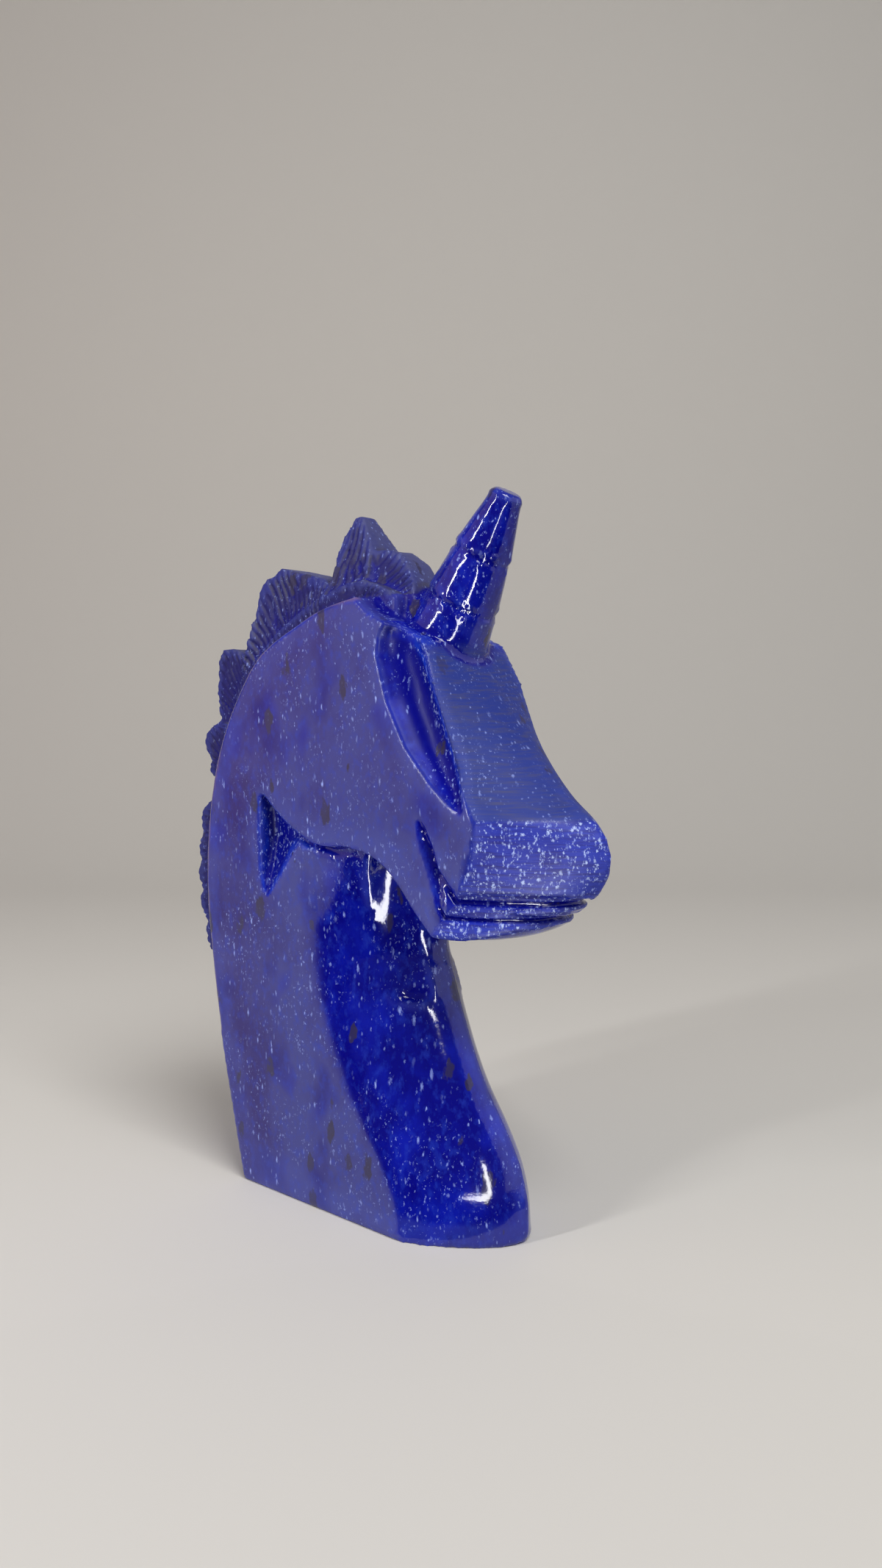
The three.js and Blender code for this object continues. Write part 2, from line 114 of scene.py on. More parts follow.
def linear(code):
    """An sRGB hex colour as linear red, green, blue and alpha."""
    parts = [int(code[i : i + 2], 16) / 255 for i in (1, 3, 5)]
    return [c / 12.92 if c <= 0.04045 else ((c + 0.055) / 1.055) ** 2.4 for c in parts] + [1.0]


def hex_property(name, description, default):
    """A colour that a user would change, kept as an sRGB hex value."""
    return StringProperty(name=name, description=description, default=default)


def length_property(name, description, default_mm):
    """A length that a user would change, in metres."""
    return FloatProperty(
        name=name,
        description=description,
        default=default_mm * MM,
        precision=5,
        unit="LENGTH",
        subtype="DISTANCE",
    )


class CarvingSizes(bpy.types.PropertyGroup):
    """Sizes of the surface work."""

    grain: length_property("Grain", "Spacing of the mesh that carries the fine carving", 0.65)
    strand_pitch: length_property("Strand pitch", "Spacing of the fine lines in the mane", 1.6)
    strand_depth: length_property("Strand depth", "Depth of the fine lines in the mane", 0.5)
    hand_wave: length_property("Hand wave", "How far hand polishing leaves the faces uneven", 0.07)
    dash_width: length_property("Dash width", "Width of a pale fleck", 0.44)
    fleck_width: length_property("Fleck width", "Width of a grey-brown fleck", 1.8)
    cloud_width: length_property("Cloud width", "Width of the clouds of lighter blue", 9.0)
    mottle_width: length_property("Mottle width", "Width of the fine lighter grain", 1.6)
    ripple: length_property("Ripple", "Width of the fine waves that the polish leaves", 0.9)
    grind_pitch: length_property("Grinding pitch", "Spacing of the grinding lines on the nose", 0.5)


class CarvingColours(bpy.types.PropertyGroup):
    """Colours of the stone and the studio."""

    # This deep blue is also painted into the grooves and hollows as shade
    deep: hex_property("Deep blue", "Darkest blue of the polished stone", "#00007E")
    bright: hex_property("Bright blue", "Lighter clouds in the polished stone", "#0616A6")
    slab: hex_property("Slab blue", "Purple cast of the flat sawn sides", "#281C70")
    slab_light: hex_property("Slab clouds", "Lighter clouds in the flat sawn sides", "#383786")
    slab_fore: hex_property("Slab front", "Lighter flat sides towards the front", "#3A3F8C")
    muzzle: hex_property("Muzzle blue", "Bright blue of the ground muzzle", "#0E28B0")
    worked: hex_property("Worked blue", "Blue of the ground nose", "#1E328A")
    mane: hex_property("Mane blue", "Dark purple-blue of the carved mane", "#1A1658")
    # Grey of real stone dust on the nose, also painted as light on the mane's faces turned forward and up
    dust_and_painted_light: hex_property("Dusty grey", "Stone dust on the faces that are only ground", "#4A4962")
    # A lighter line along the edge where the flat side meets the mane
    rim: hex_property("Crest rim", "Weathered edge where the slab meets the mane", "#75608A")
    # Painted highlight: brighter blue on the wall beside the eye and in the jaw pocket
    eye: hex_property("Eye slope", "Brighter blue of the slope beside the eye", "#1438C0")
    mottle: hex_property("Mottle", "Fine lighter grain all over the stone", "#2440C0")
    # Lighter colour along the edges that stand above the surface around them
    edge: hex_property("Edges", "Lighter stone along the worn edges", "#4A58B8")
    dash: hex_property("Pale fleck", "Short pale blue-white flecks", "#9DB2FF")
    spark: hex_property("Sparks", "Near-white specks of the ground muzzle", "#BDD0FF")
    fleck: hex_property("Brown fleck", "Larger grey-brown flecks", "#332E4C")
    floor: hex_property("Floor", "Floor and backdrop", "#D9D6D0")


class CarvingSettings(bpy.types.PropertyGroup):
    """Everything that a user would change."""

    sizes: PointerProperty(type=CarvingSizes)
    colours: PointerProperty(type=CarvingColours)


def settings():
    """The settings kept in the scene."""
    return bpy.context.scene.carving


def smooth_step(value, low, high):
    """0 below low, 1 above high and a soft change between."""
    share = np.clip((value - low) / (high - low), 0, 1)
    return share * share * (3 - 2 * share)


def lumps(points, width, seed):
    """Smooth noise from -1 to 1 at each point, with lumps of that width."""
    shift = Vector((seed, 2 * seed, 3 * seed))
    return np.array([noise.noise(Vector(point) / width + shift) for point in points])


def read_points(mesh, what="co"):
    """Places or normals of a mesh's vertices."""
    source = mesh.vertices if what == "co" else mesh.vertex_normals
    flat = np.empty(3 * len(mesh.vertices), dtype=np.float32)
    source.foreach_get("co" if what == "co" else "vector", flat)
    return flat.reshape(-1, 3).astype(float)


def read_edges(mesh):
    """The two vertices of each edge."""
    flat = np.empty(2 * len(mesh.edges), dtype=np.int32)
    mesh.edges.foreach_get("vertices", flat)
    return flat.reshape(-1, 2)


def side_view(points):
    """Each point's column and row in the side view."""
    return points[:, 0] / SQUARE - CENTRE_COLUMN, points[:, 2] / SQUARE


def in_box(column, row, box):
    """Which points lie in a box of columns and rows."""
    back, front = box["columns"]
    bottom, top = box["rows"]
    return (column > back) & (column < front) & (row > bottom) & (row < top)


def line_distance(points, line):
    """How far each point lies from a line of columns and rows, in squares."""
    column, row = side_view(points)
    nearest = np.full(len(points), np.inf)
    for (c0, r0), (c1, r1) in zip(line, line[1:]):
        run, rise = c1 - c0, r1 - r0
        along = ((column - c0) * run + (row - r0) * rise) / (run * run + rise * rise)
        along = np.clip(along, 0, 1)
        gap = np.hypot(column - c0 - along * run, row - r0 - along * rise)
        nearest = np.minimum(nearest, gap)
    return nearest


def lip_share(points):
    """1 in the lines between the lips and 0 beside them."""
    share = np.zeros(len(points))
    for line, width in zip(LIPS, LIP_WIDTHS):
        share = np.maximum(share, 1 - smooth_step(line_distance(points, line), 0.3 * width, width))
    return share


def crest_distance(points):
    """How many columns each point lies behind the crest, where the mane begins."""
    column, row = side_view(points)
    return np.interp(row, [r for _, r in CREST], [c for c, _ in CREST]) - column


def mane_share(points):
    """1 on the mane and 0 on the polished slab."""
    _, row = side_view(points)
    return smooth_step(crest_distance(points), 0.2, 1.4) * (row > CREST[0][1])


# The carving's mesh

FLAT_NORMAL = 0.99999  # a normal this close to sideways lies in the middle of a flat side
FLAT_MARGIN = 3  # rings of small squares that stay along the edges of a flat side
BLOCK = 3  # small squares along one side of a larger one
HARD_TURN = math.radians(13)  # a sharper turn between neighbours is a carved edge, not a facet
CURVE_PASSES = 30
NECK_PASSES = 110  # more on the neck, whose long curves show every facet
STRAND_WANDER = 0.55  # how far a strand wavers from its ray, in strands
STRAND_CURL = 0.03  # how far it turns aside in each square that it runs
WIDE_WAVE = 14  # width of the larger lumps that hand polishing leaves, in millimetres
SMALL_WAVE = 5  # width of the smaller ones
TRIANGLES = 185000  # in the finished piece
RELIEF_PASSES = 40  # widens the ground that a point's depth is measured from


def merged_copy(node):
    """A new object with the node's mesh, its doubles merged."""
    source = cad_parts[node]
    mesh = source.data.copy()
    mesh.transform(source.matrix_world)
    mesh.materials.clear()
    mesh.name = "carved_stone"
    bm = bmesh.new()
    bm.from_mesh(mesh)
    bmesh.ops.remove_doubles(bm, verts=bm.verts, dist=0.001 * MM)
    bm.to_mesh(mesh)
    bm.free()
    piece = bpy.data.objects.new("carved_unicorn_head", mesh)
    bpy.context.collection.objects.link(piece)
    return piece


def bake_modifiers(piece):
    """The piece's modifiers become part of its mesh."""
    depsgraph = bpy.context.evaluated_depsgraph_get()
    mesh = bpy.data.meshes.new_from_object(piece.evaluated_get(depsgraph))
    piece.modifiers.clear()
    piece.data = mesh


def even_mesh(piece, grain):
    """An even mesh over the piece, fine enough for the carving."""
    remesh = piece.modifiers.new("even_mesh", "REMESH")
    remesh.mode = "VOXEL"
    remesh.voxel_size = grain
    remesh.use_smooth_shade = True
    bake_modifiers(piece)


def thin_flat_sides(piece, grain):
    """Joins the small squares in the middle of the flat sides into larger ones."""
    bm = bmesh.new()
    bm.from_mesh(piece.data)
    bm.normal_update()
    depth = 0.98 * HALF_THICKNESS
    flat = {v for v in bm.verts if abs(v.normal.y) > FLAT_NORMAL and abs(v.co.y) > depth}
    for _ in range(FLAT_MARGIN):
        flat = {v for v in flat if all(e.other_vert(v) in flat for e in v.link_edges)}
    start = next(v.co.copy() for v in bm.verts if v in flat)

    def steps(vertex, axis):
        return round((vertex.co[axis] - start[axis]) / grain)

    joined = []
    for edge in bm.edges:
        one, other = edge.verts
        if one in flat and other in flat:
            level = steps(one, 2) == steps(other, 2)
            line = steps(one, 2) if level else steps(one, 0)
            if line % BLOCK:
                joined.append(edge)
    bmesh.ops.dissolve_edges(bm, edges=joined, use_verts=True)
    bm.to_mesh(piece.data)
    bm.free()


def rub_down(piece):
    """Rubs the facets of the curved faces away and leaves the carved edges."""
    bm = bmesh.new()
    bm.from_mesh(piece.data)
    bm.normal_update()
    axes = {"use_axis_x": True, "use_axis_y": True, "use_axis_z": True}
    limit = math.cos(HARD_TURN)
    hard = set()
    for edge in bm.edges:
        one, other = edge.verts
        if one.normal.dot(other.normal) < limit:
            hard.update((one, other))
    soft = [v for v in bm.verts if v not in hard and v.co.z > LOW.z + MM]
    bmesh.ops.smooth_vert(bm, verts=bm.verts, factor=0.5, **axes)
    for _ in range(CURVE_PASSES):
        bmesh.ops.smooth_vert(bm, verts=soft, factor=0.5, **axes)
    neck = [v for v in soft if v.co.z < NECK_TOP * SQUARE]
    for _ in range(NECK_PASSES):
        bmesh.ops.smooth_vert(bm, verts=neck, factor=0.5, **axes)
    bm.to_mesh(piece.data)
    bm.free()


def refine_carved_areas(piece):
    """Halves the mesh spacing on the mane's sides, the horn and the lips."""
    bm = bmesh.new()
    bm.from_mesh(piece.data)
    points = np.array([v.co[:] for v in bm.verts])
    column, row = side_view(points)
    sideways = np.abs([v.normal.y for v in bm.verts]) > 0.4
    fine = (mane_share(points) > 0.5) & sideways
    fine |= in_box(column, row, HORN) | in_box(column, row, MOUTH)
    edges = [e for e in bm.edges if fine[e.verts[0].index] and fine[e.verts[1].index]]
    bmesh.ops.subdivide_edges(bm, edges=edges, cuts=1, use_grid_fill=True)
    bm.to_mesh(piece.data)
    bm.free()


def comb_mane(points, normals, sizes):
    """How far each point sinks into the fine strands of the mane."""
    column, row = side_view(points)
    sunk = np.zeros(len(points))
    wander = STRAND_WANDER * lumps(points, 6 * MM, 4)
    for comb in COMBS:
        across, up = comb["centre"]
        turn = np.arctan2(row - up, column - across)
        reach = np.hypot(row - up, column - across)
        middle = math.hypot(sum(comb["columns"]) / 2 - across, sum(comb["rows"]) / 2 - up)
        step = sizes.strand_pitch / MM / middle
        wave = np.cos(2 * math.pi * (turn / step + wander + STRAND_CURL * reach))
        sunk += in_box(column, row, comb) * (0.5 + 0.5 * wave) ** 2
    sideways = smooth_step(np.abs(normals[:, 1]), 0.35, 0.6)
    uneven = 0.65 + 0.9 * lumps(points, 3.5 * MM, 6)
    return mane_share(points) * sideways * sunk * uneven * sizes.strand_depth


def carve_detail(piece):
    """Moves the surface for the fine strands, the lip lines and the unevenness of hand work."""
    sizes = settings().sizes
    mesh = piece.data
    points = read_points(mesh)
    normals = read_points(mesh, "normal")
    depth = comb_mane(points, normals, sizes)
    depth += sizes.hand_wave * lumps(points, WIDE_WAVE * MM, 1)
    depth += 0.4 * sizes.hand_wave * lumps(points, SMALL_WAVE * MM, 2)
    depth += LIP_CUT * MM * lip_share(points)
    # The underside stays flat
    standing = smooth_step(points[:, 2], 0.3 * MM, 2 * MM)
    moved = points - normals * (depth * standing)[:, None]
    mesh.vertices.foreach_set("co", moved.astype(np.float32).ravel())
    mesh.update()


def spare_triangles(piece):
    """Takes out triangles where the mane, the back and the underside are nearly flat."""
    mesh = piece.data
    points = read_points(mesh)
    normals = read_points(mesh, "normal")
    spare = (mane_share(points) > 0.5) | (normals[:, 2] < -0.9) | (normals[:, 0] < -0.3)
    spare &= np.abs(points[:, 1]) < 0.97 * HALF_THICKNESS
    group = piece.vertex_groups.new(name="spare")
    group.add(np.flatnonzero(spare).tolist(), 1.0, "REPLACE")
    count = sum(len(p.vertices) - 2 for p in mesh.polygons)
    thin = piece.modifiers.new("spare_triangles", "DECIMATE")
    thin.ratio = min(1.0, TRIANGLES / count)
    thin.vertex_group = group.name
    bake_modifiers(piece)
    piece.vertex_groups.clear()


# The carving's finish

# Roughness of each finish
POLISHED = 0.08
SAWN = 0.2
RUBBED = 0.34
SANDED = 0.48
FILED = 0.6
# Specular level of the polish and of the dullest dust
CLEAR_SHINE = 0.5
DULL_SHINE = 0.12


def relief(points, normals, edges):
    """How far each point lies below the surface around it, in millimetres."""
    one, other = edges.T
    count = len(points)
    shares = 1 / np.bincount(edges.ravel(), minlength=count)
    around = points.copy()
    for _ in range(RELIEF_PASSES):
        sums = [
            np.bincount(one, around[other, axis], count) + np.bincount(other, around[one, axis], count)
            for axis in range(3)
        ]
        around = np.stack(sums, axis=1) * shares[:, None]
    return ((around - points) * normals).sum(axis=1) / MM


def face_areas(points, normals, depth):
    """The ground nose, the ground muzzle and what is sunk below the surface around it, where
    shade is painted.
    """
    column, row = side_view(points)
    face = smooth_step(column - np.interp(row, *zip(*FACE_EDGE)), -0.2, 0.6)
    face *= smooth_step(row, *CHIN_ROWS) * (normals[:, 2] > -0.8)
    # Painted shade: the lip lines and every groove below the surface around it are darkened
    sunk = np.maximum(smooth_step(depth, 0.1, 0.35), lip_share(points))
    face *= 1 - sunk
    above = smooth_step(row, *MUZZLE_TOP_ROWS)
    nose = face * above * (1 - smooth_step(row, *NOSE_TOP_ROWS))
    return {"face": face, "nose": nose, "muzzle": face * (1 - above), "sunk": sunk}


def slab_areas(points, normals, face):
    """The mane, the flat sawn sides, and the hollows that are only rubbed smooth: the eye
    channel, the jaw pocket and the notch behind the horn. It also gives where a highlight is
    painted, on the wall beside the eye and in the jaw pocket, and where light is painted, on
    the mane's faces turned forward and up."""
    column, row = side_view(points)
    outward = np.abs(points[:, 1]) / HALF_THICKNESS
    mane = mane_share(points)
    slab = smooth_step(np.abs(normals[:, 1]), 0.965, 0.99) * (1 - mane)
    slab *= smooth_step(outward, 0.86, 0.95)
    channel = smooth_step(row, *CHANNEL_BOTTOM_ROWS) * (1 - smooth_step(row, *CHANNEL_TOP_ROWS))
    channel *= smooth_step(column, *CHANNEL_BACK_COLUMNS) * (1 - face) * (1 - slab) * (outward > 0.55)
    hidden = (1 - slab) * (outward < 0.99) * (1 - mane)
    pocket = hidden * in_box(column, row, JAW_POCKET)
    notch = hidden * in_box(column, row, HORN_NOTCH)
    rubbed = np.maximum(channel, np.maximum(pocket, notch))
    # Painted highlight: the wall beside the eye, and more faintly the jaw pocket, turn brighter blue
    eye_slope_highlight = rubbed * smooth_step(column - np.interp(row, *zip(*EYE_LINE)), 0.3, 1.8)
    rim = 1 - smooth_step(line_distance(points, CREST[:-1]), 0.5, 1.1)
    return {
        "mane": mane,
        "slab": np.maximum(slab, 0.75 * notch),
        # Painted light: the mane's faces turned forward and up are drawn greyer
        "lit_mane_slopes": mane * smooth_step(normals[:, 0] + 0.6 * normals[:, 2], 0.25, 0.7),
        "crest_rim": rim * smooth_step(outward, 0.88, 0.93),
        "rubbed": rubbed,
        "eye_slope_highlight": np.maximum(eye_slope_highlight, 0.7 * pocket),
        "fore": smooth_step(-crest_distance(points), 9, 30),
    }


def paint_finish(piece):
    """Stores how each point is finished, and where shade and highlights are painted, for the
    material, and returns the layers' names.
    """
    mesh = piece.data
    points = read_points(mesh)
    normals = read_points(mesh, "normal")
    depth = relief(points, normals, read_edges(mesh))
    areas = face_areas(points, normals, depth)
    areas.update(slab_areas(points, normals, areas.pop("face")))
    rubbed = areas.pop("rubbed")
    # Lighter colour where the surface stands above the surface around it
    areas["edge"] = smooth_step(-depth, 0.16, 0.4)
    filed = np.maximum(areas["nose"], areas["mane"])
    dull = np.maximum(filed, areas["muzzle"])
    sparkling = np.maximum(areas["muzzle"], areas["eye_slope_highlight"])
    finishes = [
        FILED * filed,
        SANDED * areas["muzzle"],
        RUBBED * rubbed,
        POLISHED + (SAWN - POLISHED) * areas["slab"],
    ]
    areas["dull"] = dull
    areas["roughness"] = np.max(finishes, axis=0)
    areas["shine"] = CLEAR_SHINE - (CLEAR_SHINE - DULL_SHINE) * np.maximum(rubbed, 0.6 * dull)
    # Beside the eye, the denser and brighter specks are part of the painted highlight
    areas["speck_limit"] = 0.62 - 0.27 * dull - 0.42 * sparkling
    areas["pale_cover"] = 0.95 - 0.35 * filed
    areas["sparkle"] = np.maximum(areas["muzzle"], 0.6 * areas["eye_slope_highlight"])
    for name, values in areas.items():
        layer = mesh.attributes.new(name, "FLOAT", "POINT")
        layer.data.foreach_set("value", values.astype(np.float32))
    return list(areas)


# Soft patterns: the size that each is drawn at, its shares of it along x, y and z, its
# detail and its roughness
GRAINS = {
    "clouds": ("cloud_width", (1.0, 1.0, 1.4), 4.0, 0.6),
    "patches": ("cloud_width", (1.7, 1.7, 2.4), 2.0, 0.6),
    "mottle": ("mottle_width", (1.0, 1.0, 1.5), 3.0, 0.6),
    "lines": ("grind_pitch", (24.0, 10.0, 1.0), 3.0, 0.6),
    "grit": ("dash_width", (1.6, 1.6, 2.3), 2.0, 0.75),
    "ripple": ("ripple", (1.0, 1.0, 1.0), 2.0, 0.6),
}
# Flecks in the cells of a pattern: the size and its shares as above, how far from a cell's
# middle the fleck begins to fade and is gone, the draw from which a cell has a fleck, as a
# value or an area's name, and how much higher the draw of a full one is
FLECKS = {
    "dashes": ("dash_width", (2.2, 2.2, 6.0), (0.06, 0.25), 0.35, 0.65),
    "specks": ("dash_width", (1.2, 1.2, 2.4), (0.05, 0.28), "speck_limit", 0.45),
    "broad": ("dash_width", (1.7, 1.9, 2.2), (0.1, 0.3), 0.3, 0.5),
    "brown": ("fleck_width", (2.0, 2.0, 4.0), (0.2, 0.27), 0.3, 0.2),
}
CELL_BEND = 0.35  # how far the cells are bent out of their round shape
FLECK_SIZES = (0.75, 1.9)  # stretches a cell's distances, from the largest fleck to the smallest
RAGGED = 0.42  # how ragged the flecks' edges are
# Layers of colour, each over those before it: the area, the pattern, the values where the
# layer starts and where it is full, its least and its most cover, and the colour
SIDE_LAYERS = [
    ("everywhere", "clouds", (0.38, 0.66), (0.0, 1.0), "slab_light"),
    ("fore", "clouds", (0.3, 0.6), (0.45, 1.0), "slab_fore"),
]
STONE_LAYERS = [
    ("everywhere", "clouds", (0.42, 0.66), (0.0, 1.0), "bright"),
    ("slab", "patches", (0.36, 0.46), (0.35, 1.0), "side"),
    ("everywhere", "mottle", (0.5, 0.72), (0.0, 0.4), "mottle"),
    # Painted highlight: brighter blue on the wall beside the eye and in the jaw pocket
    ("eye_slope_highlight", "mottle", (0.4, 0.6), (0.3, 0.9), "eye"),
    ("muzzle", "clouds", (0.3, 0.6), (0.6, 1.0), "muzzle"),
    ("nose", "clouds", (0.0, 1.0), (1.0, 1.0), "worked"),
    ("mane", "clouds", (0.35, 0.65), (0.7, 1.0), "mane"),
    ("nose", "lines", (0.45, 0.72), (0.0, 0.55), "dust_and_painted_light"),
    # Painted light: grey on the mane's faces turned forward and up
    ("lit_mane_slopes", "clouds", (0.35, 0.6), (0.35, 0.95), "dust_and_painted_light"),
    ("muzzle", "lines", (0.47, 0.6), (0.0, 0.85), "deep"),
    # Painted shade: deep blue darkens the grooves, the lip lines and the gaps between strands
    ("sunk", "clouds", (0.0, 1.0), (0.85, 0.85), "deep"),
    ("edge", "clouds", (0.0, 1.0), (0.22, 0.22), "edge"),
    ("crest_rim", "clouds", (0.0, 1.0), (0.75, 0.75), "rim"),
    ("showers", "grit", (0.62, 0.72), (0.0, 0.6), "dash"),
    ("pale_cover", "pale", (0.0, 1.0), (0.0, 1.0), "dash"),
    ("sparkle", "sparks", (0.0, 1.0), (0.0, 1.0), "spark"),
    ("brown", "clouds", (0.3, 0.6), (0.6, 0.95), "fleck"),
]


def add_node(tree, kind, values=None, inputs=None):
    """A node with its settings. An input is a value, or a socket that is linked to it."""
    made = tree.nodes.new(kind)
    for name, value in (values or {}).items():
        setattr(made, name, value)
    for name, value in (inputs or {}).items():
        if isinstance(value, bpy.types.NodeSocket):
            tree.links.new(value, made.inputs[name])
        else:
            made.inputs[name].default_value = value
    return made


def add_flecks(tree, place, reach, limit, width):
    """Ragged flecks of several sizes at the middles of some of the pattern's cells."""
    wobble_inputs = {"Vector": place, "Scale": 1.0, "Detail": 1.0, "Roughness": 0.6}
    wobble = add_node(tree, "ShaderNodeTexNoise", inputs=wobble_inputs)
    bend_inputs = {"Factor": CELL_BEND, 4: place, 5: wobble.outputs["Color"]}
    bent = add_node(tree, "ShaderNodeMix", {"data_type": "VECTOR"}, bend_inputs)
    cell_inputs = {"Vector": bent.outputs[1], "Scale": 1.0, "Randomness": 1.0}
    cells = add_node(tree, "ShaderNodeTexVoronoi", inputs=cell_inputs)
    draws = add_node(tree, "ShaderNodeSeparateColor", inputs={"Color": cells.outputs["Color"]})
    size_inputs = {"Value": draws.outputs[1], "To Min": FLECK_SIZES[0], "To Max": FLECK_SIZES[1]}
    size = add_node(tree, "ShaderNodeMapRange", inputs=size_inputs)
    distance_inputs = {0: cells.outputs["Distance"], 1: size.outputs["Result"]}
    distance = add_node(tree, "ShaderNodeMath", {"operation": "MULTIPLY"}, distance_inputs)
    ragged_inputs = {"Vector": place, "Scale": 3.5, "Detail": 2.0}
    ragged = add_node(tree, "ShaderNodeTexNoise", inputs=ragged_inputs)
    rim_inputs = {0: ragged.outputs["Fac"], 1: RAGGED, 2: distance.outputs[0]}
    rim = add_node(tree, "ShaderNodeMath", {"operation": "MULTIPLY_ADD"}, rim_inputs)
    shape_inputs = {
        "Value": rim.outputs[0],
        "From Min": reach[0] + RAGGED / 2,
        "From Max": reach[1] + RAGGED / 2,
        "To Min": 1.0,
        "To Max": 0.0,
    }
    shape = add_node(tree, "ShaderNodeMapRange", inputs=shape_inputs)
    over = add_node(tree, "ShaderNodeMath", {"operation": "SUBTRACT"}, {0: draws.outputs[0], 1: limit})
    picked_inputs = {"Value": over.outputs[0], "From Min": 0.0, "From Max": width}
    picked = add_node(tree, "ShaderNodeMapRange", inputs=picked_inputs)
    fleck_inputs = {0: shape.outputs["Result"], 1: picked.outputs["Result"]}
    return add_node(tree, "ShaderNodeMath", {"operation": "MULTIPLY"}, fleck_inputs).outputs[0]


def add_patterns(tree, areas):
    """The stone's patterns by name, each drawn at its real size."""
    place = add_node(tree, "ShaderNodeTexCoord").outputs["Object"]
    sizes = settings().sizes
    drawn = {}
    for name, (size, shares, *_) in {**GRAINS, **FLECKS}.items():
        scale = [1 / (share * getattr(sizes, size)) for share in shares]
        mapping = add_node(tree, "ShaderNodeMapping", inputs={"Vector": place, "Scale": scale})
        drawn[name] = mapping.outputs["Vector"]
    patterns = {}
    for name, (_, _, detail, roughness) in GRAINS.items():
        inputs = {"Vector": drawn[name], "Scale": 1.0, "Detail": detail, "Roughness": roughness}
        patterns[name] = add_node(tree, "ShaderNodeTexNoise", inputs=inputs).outputs["Fac"]
    for name, (_, _, reach, limit, width) in FLECKS.items():
        patterns[name] = add_flecks(tree, drawn[name], reach, areas.get(limit, limit), width)
    grit_inputs = {"Value": patterns["grit"], "From Min": 0.58, "From Max": 0.7, "To Max": 0.8}
    grit = add_node(tree, "ShaderNodeMapRange", inputs=grit_inputs)
    for name, one, other in (
        ("pale", patterns["dashes"], patterns["specks"]),
        ("sparks", patterns["broad"], grit.outputs["Result"]),
    ):
        both = add_node(tree, "ShaderNodeMath", {"operation": "MAXIMUM"}, {0: one, 1: other})
        patterns[name] = both.outputs[0]
    return patterns


def lay_colours(tree, base, layers, patterns, areas, colours):
    """Lays each layer's colour over the base and the layers before it."""
    body = base
    for area, pattern, reach, cover, colour in layers:
        spread_inputs = {
            "Value": patterns[pattern],
            "From Min": reach[0],
            "From Max": reach[1],
            "To Min": cover[0],
            "To Max": cover[1],
        }
        spread = add_node(tree, "ShaderNodeMapRange", inputs=spread_inputs)
        share_inputs = {0: spread.outputs["Result"], 1: areas[area]}
        share = add_node(tree, "ShaderNodeMath", {"operation": "MULTIPLY"}, share_inputs)
        mix_inputs = {"Factor": share.outputs[0], 6: body, 7: colours[colour]}
        body = add_node(tree, "ShaderNodeMix", {"data_type": "RGBA"}, mix_inputs).outputs[2]
    return body


def add_bump(tree, patterns, dull):
    """The fine waves that polishing leaves, and the grinding lines of the dull faces."""
    ripple_inputs = {"Height": patterns["ripple"], "Distance": 0.1 * MM, "Strength": 0.16}
    ripple = add_node(tree, "ShaderNodeBump", inputs=ripple_inputs)
    strength_inputs = {"Value": dull, "To Min": 0.015, "To Max": 0.7}
    strength = add_node(tree, "ShaderNodeMapRange", inputs=strength_inputs)
    line_inputs = {
        "Height": patterns["lines"],
        "Distance": 0.12 * MM,
        "Strength": strength.outputs["Result"],
        "Normal": ripple.outputs["Normal"],
    }
    return add_node(tree, "ShaderNodeBump", inputs=line_inputs).outputs["Normal"]


def stone_material(area_names):
    """Blue ornamental stone, cut with a saw and files and rubbed to a wet-looking polish.
    It is opaque, with short pale flecks and a few angular brown ones, and its ground
    faces are greyer and duller than its polished ones. Shade is painted into its grooves,
    a highlight onto the wall beside the eye, and light onto the mane's faces turned forward and up."""
    material = bpy.data.materials.new("polished_blue_stone")
    material.use_nodes = True
    tree = material.node_tree
    tree.nodes.clear()
    colours = {name: linear(getattr(settings().colours, name)) for name in CarvingColours.__annotations__}
    areas = {"everywhere": 1.0}
    for name in area_names:
        areas[name] = add_node(tree, "ShaderNodeAttribute", {"attribute_name": name}).outputs["Fac"]
    patterns = add_patterns(tree, areas)
    areas["brown"] = patterns["brown"]
    shower_inputs = {"Value": patterns["patches"], "From Min": 0.46, "From Max": 0.58}
    areas["showers"] = add_node(tree, "ShaderNodeMapRange", inputs=shower_inputs).outputs["Result"]
    colours["side"] = lay_colours(tree, colours["slab"], SIDE_LAYERS, patterns, areas, colours)
    body = lay_colours(tree, colours["deep"], STONE_LAYERS, patterns, areas, colours)
    shader_inputs = {
        "Base Color": body,
        "Roughness": areas["roughness"],
        "Specular IOR Level": areas["shine"],
        "Normal": add_bump(tree, patterns, areas["dull"]),
        "IOR": 1.5,
        "Coat Weight": 0.0,
    }
    shader = add_node(tree, "ShaderNodeBsdfPrincipled", inputs=shader_inputs)
    add_node(tree, "ShaderNodeOutputMaterial", inputs={"Surface": shader.outputs["BSDF"]})
    return material


class CARVING_OT_stone(bpy.types.Operator):
    """Make the carved stone over the solid, with its fine strands and its finish"""

    bl_idname = "carving.stone"
    bl_label = "Carved Stone"

    def execute(self, context):
        grain = settings().sizes.grain
        piece = merged_copy(STONE_NODE)
        even_mesh(piece, grain)
        thin_flat_sides(piece, grain)
        rub_down(piece)
        refine_carved_areas(piece)
        carve_detail(piece)
        spare_triangles(piece)
        area_names = paint_finish(piece)
        piece.data.materials.append(stone_material(area_names))
        piece.data.shade_smooth()
        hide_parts(STONE_NODE)
        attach(piece, "root")
        return {"FINISHED"}


# Studio, in metres. The camera stands where the photograph was taken from

CAMERA_PLACE = Vector((163.16, -176.72, 106.0)) * SQUARE
CAMERA_TURN = math.radians(40)
CAMERA_DIP = math.radians(4)
IMAGE_HEIGHT = 2133
FOCAL_PIXELS = 1540
SENSOR = 36.0
LIGHT_TARGET = Vector((0, 0, 0.075))  # the middle of the carving
AIR_STRENGTH = 0.12
